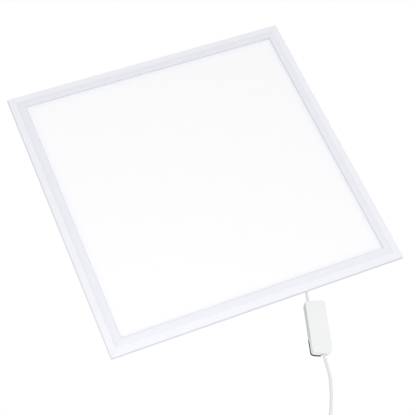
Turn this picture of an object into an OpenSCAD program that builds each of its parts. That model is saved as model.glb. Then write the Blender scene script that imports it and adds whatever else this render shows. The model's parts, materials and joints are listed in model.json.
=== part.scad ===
// Edge-lit LED panel light with an in-line driver on a short lead.
// The panel stands upright: X runs along its lower edge, Z up its face, and the lit face looks towards -Y.
// The origin is the centre of the panel's back plane, which is the rear rim of its frame.
// "Depth" below is the distance forward from that plane, so a point at depth d has Y = -d.

/* [Panel] */
// Side of the square panel, over the frame
panel_side = 595; // [560:1:620]
// Depth of the frame's plain outer side
edge_depth = 9; // [9:0.1:11]
// Width of the flat outer band of the frame's face
flange_w = 14; // [13.5:0.1:16]
// Width of the whole frame face, from its outer edge to the diffuser
frame_w = 29.7; // [28:0.1:34]
// How far the inner band starts in front of the outer band
step_rise = 1.4; // [1:0.1:2]
// How far the inner lip stands in front of the outer band
lip_rise = 3; // [2.6:0.1:4]
// Wall thickness of the aluminium rail
rail_wall = 1.4; // [1.2:0.1:1.5]
// Width of the rear rim of the rail
rim_w = 9; // [9:0.1:9.4]
// Half of the joint line left open at each mitred corner
mitre_gap = 0.07; // [0.03:0.01:0.2]

/* [Light stack] */
// Thickness of the opal diffuser sheet
diffuser_t = 1.3; // [1:0.1:1.5]
// Thickness of the acrylic light guide
guide_t = 3; // [2.5:0.1:3]
// Thickness of the reflector film
reflector_t = 0.25; // [0.15:0.05:0.3]
// Thickness of the steel back plate
plate_t = 0.8; // [0.5:0.1:0.8]
// How far the back plate sits in from the rear rim
plate_recess = 0.5; // [0.3:0.1:0.5]
// LEDs along each side
led_count = 48; // [12:2:56]
// Spacing of the LEDs
led_pitch = 11.4; // [9:0.1:11.6]

/* [Suspension] */
// Spacing of the suspension nuts along the rails
hanger_pitch = 400; // [200:10:440]
// Distance from the panel's edge to a suspension nut
hanger_inset = 4.5; // [4.4:0.05:4.6]
// Thread radius of a suspension nut, drawn as a plain bore
hanger_r = 2; // [1.5:0.1:2.1]
// Outside radius of a suspension nut's body
nut_r = 2.9; // [2.6:0.1:2.9]

/* [Driver] */
// Width of the driver box
box_w = 37.5; // [36:0.5:40]
// Length of the driver box
box_l = 104; // [98:0.5:110]
// Depth of the driver box
box_d = 20; // [20:0.5:24]
// Wall of the driver box
box_wall = 1.8; // [1.6:0.1:2]
// How far the mains end bows out
end_bow = 3; // [1.5:0.1:4]
// Lean of the driver from plumb, towards the panel's left
driver_tilt = 17; // [10:0.1:20]
// Turn of the driver about its own length
driver_roll = 2; // [0:0.1:6]
// Length of the hinged terminal flap
flap_l = 32; // [30:0.5:33]

/* [Lead and cord] */
// Radius of the output lead
lead_r = 2.5; // [2:0.1:2.6]
// Free length of the output lead
lead_l = 42.5; // [40:0.5:50]
// Radius of the mains cord
cord_r = 2.8; // [2.5:0.1:2.8]
// Angle at which the mains cord leaves the driver
cord_angle = 7.2; // [0:0.1:10]
// Straight length of mains cord before it bends
cord_run = 33.5; // [20:0.5:60]

/* [Hidden] */
$fn = 48;

// Clearances between pieces that touch or slide in the real thing
slack = 0.05;
loose = 0.1;

// Rail section, as [distance in from the outer edge, depth]
half = panel_side / 2;
lip_depth = edge_depth + lip_rise;
step_end = flange_w + 0.5;
sheet_front = edge_depth - 0.9;
web_back = edge_depth - rail_wall;
ledge_depth = plate_recess + plate_t + loose;
rail_profile = [
  [0, 0], [0, edge_depth - 0.8], [0.8, edge_depth], [flange_w, edge_depth],
  [step_end, edge_depth + step_rise], [frame_w - 1.2, lip_depth], [frame_w, lip_depth - 0.6],
  [frame_w, sheet_front + slack], [frame_w - rail_wall, sheet_front + slack],
  [frame_w - rail_wall, lip_depth - rail_wall], [step_end + 1.1, edge_depth + step_rise - rail_wall + 0.15],
  [step_end + 0.1, web_back + 0.3], [flange_w, web_back + 0.3],
  [flange_w, ledge_depth], [rim_w, ledge_depth], [rim_w, 0]
];
tube_left = rail_wall;
tube_right = flange_w - rail_wall;
rim_tube = rim_w - rail_wall;
ledge_back = ledge_depth + rail_wall;
tube_profile = [
  [tube_left, rail_wall], [tube_left, web_back], [tube_right, web_back],
  [tube_right, ledge_back], [rim_tube, ledge_back], [rim_tube, rail_wall]
];

// Depths of the sheets, front face and back face
guide_front = sheet_front - diffuser_t - loose;
guide_back = guide_front - guide_t;
reflector_front = guide_back - loose;
reflector_back = reflector_front - reflector_t;
foam_front = reflector_back - loose;
foam_back = ledge_depth;

// LED boards stand against the ribs of the left and right rails
board_t = 1;
board_face = flange_w + slack + board_t;
board_len = 2 * (half - flange_w - 7);
board_back = ledge_depth + 0.3;
board_front = web_back + 0.1;
led_size = [0.7, 1.4, 3];
led_depth = (guide_front + guide_back) / 2;
guide_inset = board_face + slack + led_size[0] + 0.4;
guide_inset_z = flange_w + 1.2;

// Screws, as [shank radius, length, head radius, head height]
plate_screw = [1.3, 4, 2.25, 1];
gland_screw = [1.1, 5.6, 2.2, 1.4];
driver_screw = [1.3, 9, 2.5, 1.5];
board_screw = [0.8, 3.5, 1.7, 1];
mains_screw = [1.2, 1.9, 1.8, 1.3];
output_screw = [0.9, 1, 1.3, 0.9];
clamp_screw = [1, 6.4, 1.3, 0.8];
slot_half = 0.25;

// Countersunk corner screws: shank radius, head radius and length
rim_screw_r = 1.4;
rim_screw_head_r = 2.6;
rim_screw_l = 5;
rim_screw_head_h = 1.1;
rim_screw_from_corner = 26;

// Places of the back plate's screws along each side, and its pressed grooves
plate_screw_at = [-240, -80, 80, 240] * (panel_side / 595);
plate_screw_inset = rim_w + loose + plate_screw[2];
bead_depth = 0.3;
bead_w = 6;
bead_insets = [70, 84];

// Box: its two ends, corner radii and the bowed mains end
box_top = box_l / 2;
box_end = -box_l / 2;
box_corner = 5.5;
box_top_corner = 3;
bow_r = (pow(box_w / 2, 2) + pow(end_bow, 2)) / (2 * end_bow);
bow_centre = bow_r + box_end;
corner_x = box_w / 2 - box_corner;
corner_z = bow_centre - sqrt(pow(bow_r - box_corner, 2) - pow(corner_x, 2));
corner_angle = atan2(bow_centre - corner_z, corner_x);
split_y = -1;
inner_y = box_d / 2 - box_wall;

// Where the driver hangs, and the lead and cord in its own frame
driver_at = [81.2, 3, -371.2];
lead_x = -10.5;
lead_y = 1;
boot_l = 4;
boot_r = 3.4;
boot_top = box_top + boot_l;
joint_gap = 1.75;
lead_low = boot_top + joint_gap;
lead_high = lead_low + lead_l;
cord_x = 3.3;
cord_start = box_end - joint_gap;
cord_bend_1 = [85, 11];
cord_bend_2 = [385, 10.4];
cord_end_run = 22;
cord_root_end = box_end + 10.6;
core_r = 0.9;
core_apart = 1.2;
bare_from = 16;
collar_r = 1.15;
ferrule_r = 0.6;
ferrule_l = 10;
wire_r = 0.6;

// Flap hinge in the driver's frame
pin_r = 1.15;
pin_x = 6;
pad_t = 3.6;
pin_y = box_d / 2 - pad_t;
knuckle_r = 2.6;
hinge_pocket_r = 4.8;
flap_back = pin_y - 1.8;
flap_z0 = box_end;
flap_z1 = flap_z0 + flap_l;
flap_x1 = pin_x - 2.8;
pad_x1 = pin_x - 6.6;
pad_over = 0.6;

// Driver board and its screws
pcb_front = -6.2;
pcb_back = pcb_front + 1.6;
pcb_half_w = 15.4;
pcb_half_l = box_top - 11.5;
well_at = [
  [-2, box_top - 6.5], [box_w / 2 - 5.4, box_top - 6.5],
  [5.4 - box_w / 2, box_end + 8], [box_w / 2 - 4.8, box_end + 8]
];
well_r = 3.8;
well_bore_r = 2.8;
well_floor = 2;
pcb_hole_at = [
  [-2, box_top - 13.9], [12.8, box_top - 14.5],
  [12.8, box_end + 14.5], [-6, box_end + 14.1]
];

// Works on the driver board, which stand rearwards from part_y: places as x and z, spans as [from, to]
part_y = pcb_back + slack;
core_at = [-1, 6];
core_half_w = 9;
core_half_l = 8;
core_h = 12;
window_x = [2.4, 6.2];
window_z = 5.4;
winding_t = 1.6;
input_cap_at = [9.5, -14];
input_cap_r = 5;
input_cap_l = 10.5;
output_cap_at = [-9, box_top - 21];
output_cap_r = 4;
output_cap_h = 11.5;
choke_at = [-9.5, -9.5];
choke_r = 3.6;
choke_wire_r = 1.9;
rectifier_x = [-1.5, 2];
rectifier_z = [-13.5, -5.5];
rectifier_h = 8;
switch_x = [11, 12.6];
switch_z = [14, 24];
switch_h = 9;
sink_x = [12.7, 14];
sink_z = [12, 30];
sink_h = 11.5;
fin_t = 1.2;
fin_out = 15.4;
fuse_at = [12, box_end + 17.5];
fuse_r = 2.2;
fuse_l = 12.5;
terminal_x = [-11.2, -5.6];
terminal_z = [box_end + 16, box_end + 25.5];
terminal_top = 4.3;
terminal_screw_y = 2.8;
terminal_screw_z = box_end + 20.7;
output_x = [-12.9, -8.7];
output_z = [box_top - 16.3, box_top - 12.5];
output_h = 8.4;
output_screw_z = box_top - 14.4;
clamp_z = [box_end + 6, box_end + 10.5];
clamp_top = cord_r + 0.9;
entry_at = [cord_x - 0.9, 0.8];
entry_r = cord_r + 1.3;
clamp_screw_at = [cord_x - 5, box_end + 8.3];

// Points of an arc in a plane
function arc(c, r, a0, a1, n) = [
  for (i = [0:n]) let (a = a0 + (a1 - a0) * i / n) c + r * [cos(a), sin(a)]
];

// Outline of the driver box in its X-Z plane, moved in by an inset
function box_outline(inset) = concat(
  arc([corner_x, corner_z], box_corner - inset, 0, -corner_angle, 6),
  arc([0, bow_centre], bow_r - inset, -corner_angle, corner_angle - 180, 24),
  arc([-corner_x, corner_z], box_corner - inset, corner_angle - 180, -180, 6),
  arc([box_top_corner - box_w / 2, box_top - box_top_corner], box_top_corner - inset, 180, 90, 6),
  arc([box_w / 2 - box_top_corner, box_top - box_top_corner], box_top_corner - inset, 90, 0, 6)
);

// A point of the driver's frame in the panel's frame
function roll_point(p) = [
  p[0] * cos(driver_roll) - p[1] * sin(driver_roll), p[0] * sin(driver_roll) + p[1] * cos(driver_roll), p[2]
];
function tilt_point(p) = [
  p[0] * cos(driver_tilt) + p[2] * sin(driver_tilt), p[1], p[2] * cos(driver_tilt) - p[0] * sin(driver_tilt)
];
function from_driver(p) = driver_at + tilt_point(roll_point(p));
swing_at = from_driver([lead_x, lead_y, lead_high]);
lead_y_world = swing_at[1];

// Gland on the back plate
gland_w = 22;
gland_h = 26;
gland_out = 8;
gland_low = swing_at[2] + 1.5;
gland_mid = gland_low + gland_h / 2;
gland_screw_x = 8;
grommet_z = gland_low + 17;
grommet_r = 4;

// Box between two corners, with depths for its Y extent
module block(x, depth, z) {
  translate([x[0], -depth[1], z[0]])
    cube([x[1] - x[0], depth[1] - depth[0], z[1] - z[0]]);
}

// Box between two corners, in plain coordinates
module span(x, y, z) {
  translate([x[0], y[0], z[0]])
    cube([x[1] - x[0], y[1] - y[0], z[1] - z[0]]);
}

// Cylinder along Y between two Y values
module y_rod(x, z, y0, y1, r0, r1) {
  translate([x, y0, z])
    rotate([-90, 0, 0])
      cylinder(h = y1 - y0, r1 = r0, r2 = r1);
}

// Cylinder along Z between two Z values
module z_rod(x, y, z0, z1, r0, r1) {
  translate([x, y, z0])
    cylinder(h = z1 - z0, r1 = r0, r2 = r1);
}

// Solid with a plan outline in X-Z, between two Y values
module slice_y(points, y0, y1) {
  translate([0, y1, 0])
    rotate([90, 0, 0])
      linear_extrude(height = y1 - y0)
        polygon(points);
}

// Screw that points towards -Y, with its head's underside at the origin and a cross recess in the head
module screw(size) {
  r = size[0];
  len = size[1];
  head_r = size[2];
  head_h = size[3];
  slot_l = head_r * 0.6;
  slot_floor = head_h * 0.45;
  difference() {
    union() {
      y_rod(0, 0, -len, slack, r, r);
      y_rod(0, 0, 0, head_h, head_r, head_r * 0.8);
    }
    span([-slot_l, slot_l], [slot_floor, head_h + 1], [-slot_half, slot_half]);
    span([-slot_half, slot_half], [slot_floor, head_h + 1], [-slot_l, slot_l]);
  }
}

// Places children on each of the four sides of the panel in turn
module each_side() {
  for (a = [0, 90, 180, 270])
    rotate([0, a, 0])
      children();
}

// Puts children in the driver's frame
module in_driver() {
  translate(driver_at)
    rotate([0, driver_tilt, 0])
      rotate([0, 0, driver_roll])
        children();
}

// Bent round tube that starts towards -Z and curves towards -X
module tube_bend(bend, r) {
  translate([-bend[0], 0, 0])
    rotate([-90, 0, 0])
      rotate_extrude(angle = bend[1], $fn = 96)
        translate([bend[0], 0])
          circle(r = r);
}

// Moves children to the far end of a tube_bend
module after_bend(bend) {
  translate([-bend[0], 0, 0])
    rotate([0, bend[1], 0])
      translate([bend[0], 0, 0])
        children();
}

// Wire with round corners through a list of points
module wire(points, r) {
  for (i = [0:len(points) - 2])
    let (run = points[i + 1] - points[i])
    translate(points[i])
      rotate([0, acos(run[2] / norm(run)), atan2(run[1], run[0])])
        cylinder(h = norm(run), r = r, $fn = 24);
  for (i = [1:1:len(points) - 2])
    translate(points[i])
      sphere(r = r * 1.02, $fn = 24);
}

// Frame ----------------------------------------------------------------------------------------

// Holes through the rear rim and ledge of one rail
module rail_holes(with_hangers) {
  if (with_hangers)
    for (x = [-hanger_pitch / 2, hanger_pitch / 2])
      y_rod(x, hanger_inset - half, -rail_wall - 1, 1, nut_r + slack, nut_r + slack);
  for (x = [rim_screw_from_corner - half, half - rim_screw_from_corner]) {
    y_rod(x, hanger_inset - half, -rail_wall - 1, 1, rim_screw_r + 0.2, rim_screw_r + 0.2);
    y_rod(x, hanger_inset - half, -rim_screw_head_h - loose, slack, rim_screw_r + loose,
      rim_screw_head_r + 0.15);
  }
  for (x = plate_screw_at)
    y_rod(x, plate_screw_inset - half, -ledge_back - 2, 0, plate_screw[0] + slack, plate_screw[0] + slack);
}

// One mitred rail, as the lower side of the frame
module rail(with_hangers) {
  difference() {
    intersection() {
      rotate([90, 0, 90])
        linear_extrude(height = panel_side, center = true)
          polygon([for (p = rail_profile) [-p[1], p[0] - half]]);
      rotate([90, 0, 0])
        linear_extrude(height = 4 * lip_depth, center = true)
          polygon([[-half - 2 + mitre_gap, -half - 2], [half + 2 - mitre_gap, -half - 2], [0, -mitre_gap]]);
    }
    rotate([90, 0, 90])
      linear_extrude(height = panel_side + 2, center = true)
        polygon([for (p = tube_profile) [-p[1], p[0] - half]]);
    rail_holes(with_hangers);
  }
}

module frame_rail_bottom() {
  color([0.93, 0.935, 0.95])
    rail(true);
}

module frame_rail_left() {
  color([0.93, 0.935, 0.95])
    rotate([0, 90, 0])
      rail(false);
}

module frame_rail_top() {
  color([0.93, 0.935, 0.95])
    rotate([0, 180, 0])
      rail(true);
}

module frame_rail_right() {
  color([0.93, 0.935, 0.95])
    rotate([0, 270, 0])
      rail(false);
}

// Half of a corner key: the leg that lies in the lower rail at its left end
module key_leg() {
  key_len = 34;
  x0 = tube_left + 0.3 - half;
  block([x0, x0 + key_len], [ledge_back + 0.15, web_back - 0.15], [x0, tube_right - 0.3 - half]);
  block([x0, x0 + key_len], [rail_wall + 0.1, ledge_back + 1], [x0, rim_tube - 0.3 - half]);
}

// Angle keys inside the tube of the frame, one to a corner
module corner_keys() {
  color([0.72, 0.73, 0.75])
    each_side()
      difference() {
        union() {
          key_leg();
          mirror([1, 0, -1])
            key_leg();
        }
        y_rod(rim_screw_from_corner - half, hanger_inset - half, -web_back, 1, rim_screw_r + loose,
          rim_screw_r + loose);
        y_rod(hanger_inset - half, rim_screw_from_corner - half, -web_back, 1, rim_screw_r + loose,
          rim_screw_r + loose);
      }
}

// Countersunk screws through the rear rim into the keys
module corner_screws() {
  color([0.75, 0.76, 0.78])
    each_side()
      for (x = [rim_screw_from_corner - half, half - rim_screw_from_corner])
        translate([x, 0, hanger_inset - half])
          difference() {
            union() {
              y_rod(0, 0, -rim_screw_l, -1, rim_screw_r, rim_screw_r);
              y_rod(0, 0, -rim_screw_head_h - slack, -slack, rim_screw_r, rim_screw_head_r);
            }
            span([-1.5, 1.5], [-0.6, 1], [-slot_half, slot_half]);
            span([-slot_half, slot_half], [-0.6, 1], [-1.5, 1.5]);
          }
}

// Light stack ----------------------------------------------------------------------------------

module diffuser_sheet() {
  color([0.99, 0.99, 0.99])
    block([guide_inset - half, half - guide_inset], [sheet_front - diffuser_t, sheet_front],
      [guide_inset_z - half, half - guide_inset_z]);
}

module light_guide() {
  color([0.85, 0.93, 0.96])
    block([guide_inset - half, half - guide_inset], [guide_back, guide_front],
      [guide_inset_z - half, half - guide_inset_z]);
}

// Silicone bumpers between the light guide and the upper and lower rails
module guide_bumpers() {
  color([0.8, 0.8, 0.78])
    for (x = [-0.35, 0.35], side = [0, 180])
      rotate([0, side, 0])
        block([x * panel_side - 10, x * panel_side + 10], [guide_back + 0.1, guide_front - 0.1],
          [flange_w + loose - half, guide_inset_z - loose - half]);
}

module reflector_film() {
  color([0.97, 0.97, 0.97])
    block([guide_inset - half, half - guide_inset], [reflector_back, reflector_front],
      [guide_inset_z - half, half - guide_inset_z]);
}

// Foam sheet that presses the stack forward; it stops short of the wires along the bottom
module foam_pad() {
  color([0.9, 0.9, 0.88])
    block([guide_inset + 8 - half, half - guide_inset - 8], [foam_back + loose, foam_front],
      [flange_w + 40 - half, half - guide_inset_z - 4]);
}

// LED board standing against the rib of the left rail
module led_board() {
  block([flange_w + slack - half, board_face - half], [board_back, board_front],
    [-board_len / 2, board_len / 2]);
}

module led_board_left() {
  color([0.95, 0.95, 0.93])
    led_board();
}

module led_board_right() {
  color([0.95, 0.95, 0.93])
    rotate([0, 180, 0])
      led_board();
}

module led_chips() {
  color([0.98, 0.9, 0.45])
    for (side = [0, 180], i = [0:led_count - 1])
      rotate([0, side, 0])
        translate([board_face + slack - half, -led_depth - led_size[1] / 2,
            (i - (led_count - 1) / 2) * led_pitch - led_size[2] / 2])
          cube(led_size);
}

// Feed wires from the foot of each board to the grommet, two from each side
module board_wires() {
  wire_apart = 0.85;
  wire_y = -(board_back + 0.75);
  foot_z = -board_len / 2 - loose;
  for (side = [-1, 1], i = [0, 1]) {
    foot_y = wire_y - 1.5 - 1.4 * i;
    run_z = foot_z - 2.2 - 1.5 * i;
    foot_x = side * (half - board_face + 0.3);
    rise_x = swing_at[0] + side * (i == 0 ? 4 * wire_r : wire_apart);
    exit_x = swing_at[0] + side * wire_apart;
    exit_z = grommet_z + (i == 0 ? wire_apart : -wire_apart);
    color(i == 0 ? [0.75, 0.1, 0.08] : [0.12, 0.12, 0.13])
      wire([
        [foot_x, foot_y, foot_z],
        [foot_x, foot_y, run_z],
        [foot_x, wire_y, run_z],
        [rise_x, wire_y, run_z],
        if (i == 0) [rise_x, wire_y, exit_z],
        [exit_x, wire_y, exit_z],
        [exit_x, -0.2, exit_z]
      ], wire_r);
  }
}

// Back -----------------------------------------------------------------------------------------

// Shallow groove pressed into the back plate, as a rectangle round its centre
module bead(r, w) {
  difference() {
    block([-r, r], [0, plate_recess + bead_depth], [-r, r]);
    block([w - r, r - w], [-1, plate_recess + 1], [w - r, r - w]);
  }
}

// Steel back plate with pressed grooves and holes for its screws and the lead
module back_plate() {
  edge = half - rim_w - 0.25;
  color([0.9, 0.905, 0.92])
    difference() {
      block([-edge, edge], [plate_recess, plate_recess + plate_t], [-edge, edge]);
      each_side()
        for (x = plate_screw_at)
          y_rod(x, plate_screw_inset - half, -ledge_depth, 0, plate_screw[0] + 0.3, plate_screw[0] + 0.3);
      for (inset = bead_insets)
        bead(half - inset, bead_w);
      y_rod(swing_at[0], grommet_z, -ledge_depth, 0, grommet_r, grommet_r);
      for (x = [-gland_screw_x, gland_screw_x])
        y_rod(swing_at[0] + x, gland_mid, -ledge_depth, 0, 1.2, 1.2);
    }
}

module back_plate_screws() {
  color([0.75, 0.76, 0.78])
    each_side()
      for (x = plate_screw_at)
        translate([x, -plate_recess, plate_screw_inset - half])
          screw(plate_screw);
}

// Rivet nuts in the rear rims of the upper and lower rails
module suspension_nuts() {
  color([0.78, 0.77, 0.72])
    for (side = [0, 180], x = [-hanger_pitch / 2, hanger_pitch / 2])
      rotate([0, side, 0])
        difference() {
          union() {
            y_rod(x, hanger_inset - half, -web_back + 0.4, slack, nut_r, nut_r);
            y_rod(x, hanger_inset - half, slack / 2, 0.8, 3.9, 3.9);
          }
          y_rod(x, hanger_inset - half, -edge_depth, 2, hanger_r, hanger_r);
        }
}

// Rubber grommet where the wires pass the back plate
module lead_grommet() {
  x = swing_at[0];
  neck_r = grommet_r - slack;
  flange_r = grommet_r + 1.2;
  hole_r = 2.7;
  color([0.2, 0.2, 0.2])
    difference() {
      union() {
        y_rod(x, grommet_z, -plate_recess - plate_t, 0, neck_r, neck_r);
        y_rod(x, grommet_z, -plate_recess + slack, 0.8, flange_r, flange_r);
      }
      y_rod(x, grommet_z, -5, 5, hole_r, hole_r);
    }
}

// Moulded gland that turns the lead down the back of the panel
module lead_gland() {
  y0 = -plate_recess + slack;
  x = swing_at[0];
  color([0.92, 0.92, 0.92])
    difference() {
      union() {
        span([x - gland_w / 2, x + gland_w / 2], [y0, gland_out - 1.5], [gland_low, gland_low + gland_h]);
        span([x - gland_w / 2 + 1.5, x + gland_w / 2 - 1.5], [y0, gland_out],
          [gland_low + 1.5, gland_low + gland_h - 1.5]);
      }
      span([x - 5.6, x + 5.6], [y0 - 1, gland_out - 1.6], [gland_low + 7, gland_low + gland_h - 3]);
      span([x - 2.9, x + 2.9], [lead_y_world - 2.9, lead_y_world + 2.9], [gland_low - 1, gland_low + 8]);
      y_rod(x, swing_at[2], y0 - 1, lead_y_world + 2.9, 3, 3);
      for (s = [-gland_screw_x, gland_screw_x]) {
        y_rod(x + s, gland_mid, y0 - 1, gland_out + 1, 1.5, 1.5);
        y_rod(x + s, gland_mid, 4, gland_out + 1, 2.4, 2.4);
      }
    }
}
module gland_screws() {
  color([0.75, 0.76, 0.78])
    for (s = [-gland_screw_x, gland_screw_x])
      translate([swing_at[0] + s, 4 + slack, gland_mid])
        screw(gland_screw);
}

// The end of the lead that the gland grips, with its two cores turned into the grommet
module lead_root() {
  x = swing_at[0];
  top = gland_low + 10;
  color([0.9, 0.9, 0.9])
    z_rod(x, lead_y_world, swing_at[2] + lead_r + 0.3, top, lead_r, lead_r);
  for (i = [-1, 1])
    color(i < 0 ? [0.75, 0.1, 0.08] : [0.12, 0.12, 0.13])
      wire([
        [x + i * 1.1, lead_y_world, top - 0.01],
        [x + i * 1.1, lead_y_world, grommet_z],
        [x + i * 1.1, 0.6, grommet_z]
      ], wire_r);
}

// Lead and cord --------------------------------------------------------------------------------

// Free length of the output lead, with round ends where it bends
module output_lead() {
  ends = 5;
  color([0.88, 0.88, 0.89])
    in_driver()
      translate([lead_x, lead_y, 0])
        rotate_extrude()
          polygon(concat(
            arc([0, lead_low], lead_r, -90, 0, ends),
            arc([0, lead_high], lead_r, 0, 90, ends)
          ));
}

// Moulded boot on the driver, with a cup for the lead's round end
module lead_boot() {
  color([0.8, 0.81, 0.82])
    in_driver()
      translate([lead_x, lead_y, 0])
        difference() {
          union() {
            z_rod(0, 0, box_top + slack, boot_top, boot_r, boot_r - 0.3);
            z_rod(0, 0, box_top - box_wall - 1.5, box_top + 1, boot_r - 0.2, boot_r - 0.2);
          }
          z_rod(0, 0, boot_top - 1.2, boot_top + 1, 2.3, 3);
          z_rod(0, 0, 0, boot_top + 1, 1.6, 1.6);
        }
}

// The lead's cores inside the driver, from the boot to the output terminal
module lead_tail() {
  in_driver()
    for (i = [-1, 1])
      color(i < 0 ? [0.75, 0.1, 0.08] : [0.12, 0.12, 0.13])
        wire([
          [lead_x + i * 0.75, lead_y, boot_top - 2],
          [lead_x + i * 0.75, lead_y, box_top - 7.5],
          [lead_x + i * 1.9, lead_y - 1, output_z[1] + 0.3]
        ], wire_r);
}

// Driver box -----------------------------------------------------------------------------------

// Front tray of the driver box, with bosses for the long screws and the board
module driver_cover() {
  front = -box_d / 2;
  color([0.95, 0.955, 0.955])
    in_driver()
      difference() {
        union() {
          difference() {
            slice_y(box_outline(0), front, split_y);
            slice_y(box_outline(box_wall), front + box_wall, split_y + 1);
          }
          for (p = well_at)
            y_rod(p[0], p[1], front + 1, split_y - slack, 3, 3);
          for (p = pcb_hole_at)
            y_rod(p[0], p[1], front + 1, pcb_front - slack, 2.2, 2.2);
        }
        for (p = well_at)
          y_rod(p[0], p[1], front + box_wall, 0, 1.35, 1.35);
        for (p = pcb_hole_at)
          y_rod(p[0], p[1], front + box_wall, 0, 0.85, 0.85);
        z_rod(entry_at[0], entry_at[1], -box_l, box_end + 5, entry_r, entry_r);
        z_rod(lead_x, lead_y, box_top - 6, box_l, boot_r - 0.15, boot_r - 0.15);
      }
}

// Well for one long screw, open at the rear
module screw_well(p, rear) {
  difference() {
    y_rod(p[0], p[1], split_y + slack, rear, well_r, well_r);
    y_rod(p[0], p[1], well_floor, rear + 1, well_bore_r, well_bore_r);
    y_rod(p[0], p[1], -5, rear, 1.6, 1.6);
  }
}

// Knuckle ring of the flap hinge
module knuckle(z0, z1) {
  z_rod(pin_x, pin_y, z0, z1, knuckle_r, knuckle_r);
}

// Rear tray of the driver box, open under the flap, with the wells and the fixed knuckles
module driver_base() {
  rear = box_d / 2;
  color([0.93, 0.935, 0.935])
    in_driver()
      difference() {
        union() {
          difference() {
            union() {
              difference() {
                slice_y(box_outline(0), split_y + slack, rear);
                slice_y(box_outline(box_wall), split_y - 1, inner_y);
              }
              intersection() {
                slice_y(box_outline(0.5), split_y + slack, rear - 0.5);
                span([-box_w, box_w], [split_y + slack, rear], [flap_z1 + 0.2, flap_z1 + 1.7]);
              }
              for (i = [0, 1, 3])
                screw_well(well_at[i], rear - 0.5);
            }
            for (i = [0, 1, 3])
              y_rod(well_at[i][0], well_at[i][1], well_floor, rear + 1, well_bore_r, well_bore_r);
            span([-box_w, pin_x], [flap_back - loose, rear + 1], [-box_l, flap_z1 + 0.15]);
            z_rod(pin_x, pin_y, -box_l, flap_z1 + 0.15, hinge_pocket_r, hinge_pocket_r);
          }
          screw_well(well_at[2], flap_back - loose);
          knuckle(flap_z0 + 2.2, flap_z0 + 7.2);
          knuckle(flap_z1 - 5.6, flap_z1 - 0.6);
          span([pin_x - 0.5, pin_x + 5.4], [pin_y - 2.6, pin_y - 0.6], [flap_z0 + 2.2, flap_z0 + 7.2]);
          span([pin_x - 0.5, pin_x + 5.4], [pin_y - 2.6, pin_y - 0.6], [flap_z1 - 5.6, flap_z1 + 0.5]);
        }
        z_rod(pin_x, pin_y, -box_l, flap_z1 + 0.15, pin_r + 0.05, pin_r + 0.05);
        z_rod(entry_at[0], entry_at[1], -box_l, box_end + 5, entry_r, entry_r);
        z_rod(lead_x, lead_y, box_top - 6, box_l, boot_r - 0.15, boot_r - 0.15);
      }
}

// Long screws that hold the two trays together
module driver_screws() {
  color([0.75, 0.76, 0.78])
    in_driver()
      for (p = well_at)
        translate([p[0], well_floor + slack, p[1]])
          screw(driver_screw);
}

// Flap plate in plan, cut from the box outline
module flap_plate(x1, y0, y1, grow) {
  intersection() {
    slice_y(box_outline(-grow), y0, y1);
    span([-box_w, x1], [y0 - 1, y1 + 1], [-box_l, flap_z1]);
  }
}

// White hinged flap over the mains terminal
module terminal_flap() {
  color([0.95, 0.955, 0.955])
    in_driver()
      difference() {
        union() {
          flap_plate(flap_x1, flap_back, pin_y, 0);
          knuckle(flap_z0 + 7.4, flap_z1 - 5.8);
          span([flap_x1 - 1, pin_x], [flap_back, pin_y], [flap_z0 + 7.4, flap_z1 - 5.8]);
        }
        z_rod(pin_x, pin_y, -box_l, flap_z1 + 1, pin_r + 0.05, pin_r + 0.05);
      }
}

// Dark rubber pad on the back of the flap, with a skirt round the flap's edge
module flap_pad() {
  glue = 0.02;
  color([0.2, 0.19, 0.2])
    in_driver()
      difference() {
        flap_plate(pad_x1, flap_back, box_d / 2, pad_over);
        slice_y(box_outline(-glue), flap_back - 1, pin_y + glue);
      }
}

// Hinge pin of the flap, with a domed head at the mains end
module flap_pin() {
  color([0.75, 0.76, 0.78])
    in_driver() {
      z_rod(pin_x, pin_y, flap_z0 + 2, flap_z1 - 0.3, pin_r, pin_r);
      z_rod(pin_x, pin_y, flap_z0 + 0.6, flap_z0 + 2.15, 1.5, 1.8);
    }
}

// Driver works ---------------------------------------------------------------------------------

module driver_board() {
  color([0.12, 0.42, 0.22])
    in_driver()
      difference() {
        span([-pcb_half_w, pcb_half_w], [pcb_front, pcb_back], [-pcb_half_l, pcb_half_l]);
        for (p = pcb_hole_at)
          y_rod(p[0], p[1], pcb_front - 1, pcb_back + 1, 1.1, 1.1);
      }
}

module board_screws() {
  color([0.75, 0.76, 0.78])
    in_driver()
      for (p = pcb_hole_at)
        translate([p[0], pcb_back + slack, p[1]])
          screw(board_screw);
}

// Clear sheet between the board's solder side and the cover, between the rows of bosses
module insulation_sheet() {
  color([0.85, 0.85, 0.7])
    in_driver()
      span([-10.2, 10.2], [box_wall + 0.2 - box_d / 2, box_wall + 0.5 - box_d / 2],
        [box_end + 17, box_top - 16.5]);
}

// Two E cores closed round the winding
module transformer_core() {
  x = core_at[0];
  z = core_at[1];
  middle = (window_x[0] + window_x[1]) / 2;
  window_w = window_x[1] - window_x[0];
  color([0.25, 0.25, 0.27])
    in_driver()
      difference() {
        span([x - core_half_w, x + core_half_w], [part_y + 1, part_y + core_h],
          [z - core_half_l, z + core_half_l]);
        for (s = [-1, 1])
          span([x + s * middle - window_w / 2, x + s * middle + window_w / 2], [part_y, part_y + core_h + 1],
            [z - window_z, z + window_z]);
      }
}

// Winding in the core's windows, joined by a foot under the core
module transformer_winding() {
  x = core_at[0];
  z = core_at[1];
  middle = (window_x[0] + window_x[1]) / 2;
  half_l = window_z - 0.2;
  color([0.85, 0.65, 0.15])
    in_driver() {
      difference() {
        span([x - 6, x + 6], [part_y, part_y + 0.8], [z - half_l, z + half_l]);
        span([x - 1, x + 1], [part_y - 1, part_y + 0.5], [z - 1, z + 1]);
      }
      for (s = [-1, 1])
        span([x + s * middle - winding_t, x + s * middle + winding_t],
          [part_y + 0.75, part_y + core_h + 0.4], [z - half_l, z + half_l]);
    }
}

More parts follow.
